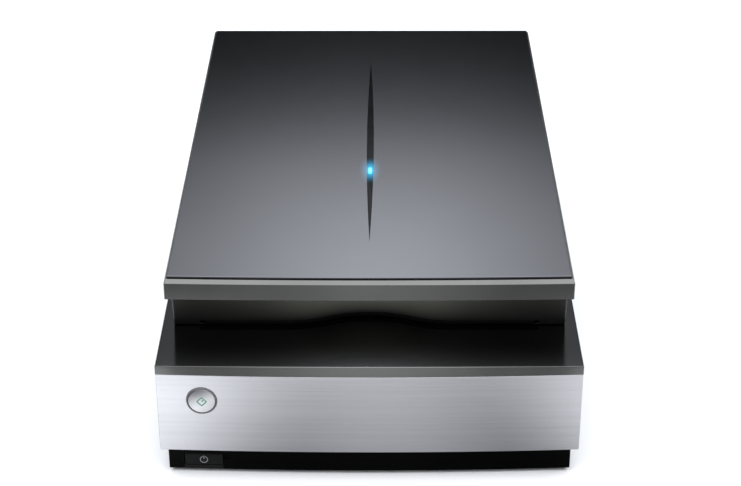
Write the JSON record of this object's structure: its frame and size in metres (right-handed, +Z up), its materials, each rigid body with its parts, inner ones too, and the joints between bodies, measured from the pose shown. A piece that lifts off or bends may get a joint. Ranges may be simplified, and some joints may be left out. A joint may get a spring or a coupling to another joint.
{
  "type": "flatbed scanner",
  "caption": "Desktop flatbed document and film scanner with a bowed brushed front panel, a hinged lid that holds a film light unit, and a finger scoop under the lid.",
  "frame": {"origin": "on the table under the middle of the scanner's outline", "axes": "+X to the operator's right, +Y to the back, +Z up"},
  "size_m": [0.308, 0.503, 0.152],
  "materials": {
    "case_black": "piano black, fine scratches",
    "lid_grey": "dark metallic grey, satin gloss",
    "plate_dark": "dark metallic, glossy",
    "plinth_black": "moulded, fine grain",
    "housing_black": "moulded, fine grain",
    "panel_silver": "brushed along its length",
    "button_silver": "fine satin",
    "ring_grey": "satin",
    "mark_green": "printed",
    "mark_grey": "printed",
    "window_black": "smoked, polished",
    "light_blue": "lit from behind, cyan blue",
    "clear_glass": "polished",
    "lens_glass": "coated",
    "mirror": "front-silvered",
    "white_plastic": "smooth",
    "lamp_white": "diffusing",
    "rubber": "matte",
    "belt_rubber": "matte, toothed",
    "steel": "ground",
    "sheet_steel": "zinc plated",
    "bronze": "sintered",
    "inner_black": "moulded",
    "pulley_cream": "moulded",
    "board_green": "lacquered",
    "socket_metal": "nickel plated",
    "mat_grey": "moulded"
  },
  "bodies": {
    "base": {"lower_tray": "plinth_black", "upper_case": "case_black", "front_panel": "panel_silver", "platen_glass": "clear_glass", "calibration_strip": "white_plastic", "rubber_feet": "rubber", "case_screws": "steel", "guide_rod": "steel", "rod_clamps": "sheet_steel", "slide_rail": "steel", "scan_motor": "sheet_steel", "scan_belt": "belt_rubber", "idler_bracket": "sheet_steel", "idler_spring": "steel", "main_board": "board_green", "power_board": "board_green", "computer_socket": "socket_metal", "power_inlet": "inner_black", "lid_cable_socket": "socket_metal", "leg_sockets": "inner_black", "start_ring": "ring_grey", "start_switch": "board_green", "power_switch": "inner_black"},
    "start_cap": {"start_button": "button_silver", "start_mark": "mark_green"},
    "power_cap": {"power_button": "plinth_black", "power_mark": "mark_grey"},
    "lock_screw": {"transport_lock": "ring_grey"},
    "scan_carriage": {"carriage_housing": "inner_black", "carriage_cover": "inner_black", "scan_lamp": "lamp_white", "carriage_mirrors": "mirror", "sensor_board": "board_green", "carriage_bushes": "bronze"},
    "lens_stage": {"lens_slide": "inner_black", "scan_lenses": "lens_glass"},
    "scan_drive": {"drive_pulley": "pulley_cream"},
    "scan_idler": {"idler_pulley": "pulley_cream"},
    "legs": {"lid_legs": "housing_black"},
    "lid": {"hinge_pins": "steel", "hinge_brackets": "sheet_steel", "hinge_springs": "steel", "lid_shell": "lid_grey", "lid_top_plate": "plate_dark", "status_window": "window_black", "status_light": "light_blue", "lid_housing": "housing_black", "film_window": "clear_glass", "lid_bumpers": "rubber", "lamp_rod": "steel", "lamp_rail": "steel", "lamp_motor": "sheet_steel", "lamp_belt": "belt_rubber", "lid_board": "board_green"},
    "film_light": {"lamp_carriage": "inner_black", "film_lamp": "lamp_white"},
    "lamp_drive": {"lamp_drive_pulley": "pulley_cream"},
    "lamp_idler": {"lamp_idler_pulley": "pulley_cream"},
    "document_mat": {"mat_backing": "mat_grey", "mat_pad": "white_plastic"}
  },
  "joints": [
    {"name": "start_press", "type": "slide", "parent": "base", "child": "start_cap", "axis": [0, 1, 0], "range_m": [0, 0.0015], "stiffness_N_per_m": 900},
    {"name": "power_press", "type": "slide", "parent": "base", "child": "power_cap", "axis": [0, 1, 0], "range_m": [0, 0.001], "stiffness_N_per_m": 900},
    {"name": "transport_lock_turn", "type": "hinge", "parent": "base", "child": "lock_screw", "pos_m": [0.15, 0.122, 0.058], "axis": [-1, 0, 0], "range_deg": [0, 90]},
    {"name": "scan_travel", "type": "slide", "parent": "base", "child": "scan_carriage", "axis": [0, -1, 0], "range_m": [0, 0.301]},
    {"name": "lens_change", "type": "slide", "parent": "scan_carriage", "child": "lens_stage", "axis": [-1, 0, 0], "range_m": [0, 0.024]},
    {"name": "scan_drive_spin", "type": "hinge", "parent": "base", "child": "scan_drive", "pos_m": [-0.143, 0.205, 0.04], "axis": [1, 0, 0], "continuous": true},
    {"name": "scan_idler_spin", "type": "hinge", "parent": "base", "child": "scan_idler", "pos_m": [-0.143, -0.228, 0.04], "axis": [1, 0, 0], "continuous": true},
    {"name": "lid_lift", "type": "slide", "parent": "base", "child": "legs", "axis": [0, 0, 1], "range_m": [0, 0.03]},
    {"name": "lid_hinge", "type": "hinge", "parent": "legs", "child": "lid", "pos_m": [0, 0.2405, 0.1085], "axis": [-1, 0, 0], "range_deg": [0, 85]},
    {"name": "lamp_travel", "type": "slide", "parent": "lid", "child": "film_light", "axis": [0, -1, 0], "range_m": [0, 0.3]},
    {"name": "lamp_drive_spin", "type": "hinge", "parent": "lid", "child": "lamp_drive", "pos_m": [-0.1355, 0.212, 0.126], "axis": [1, 0, 0], "continuous": true},
    {"name": "lamp_idler_spin", "type": "hinge", "parent": "lid", "child": "lamp_idler", "pos_m": [-0.1355, -0.158, 0.126], "axis": [1, 0, 0], "continuous": true},
    {"name": "mat_slide", "type": "slide", "parent": "lid", "child": "document_mat", "axis": [0, -1, 0], "range_m": [0, 0.345]}
  ],
  "couplings": [
    {"joint": "scan_drive_spin", "follows": "scan_travel", "rad_per_m": 176.99},
    {"joint": "scan_idler_spin", "follows": "scan_travel", "rad_per_m": 176.99},
    {"joint": "lamp_drive_spin", "follows": "lamp_travel", "rad_per_m": -219.78},
    {"joint": "lamp_idler_spin", "follows": "lamp_travel", "rad_per_m": -219.78}
  ]
}
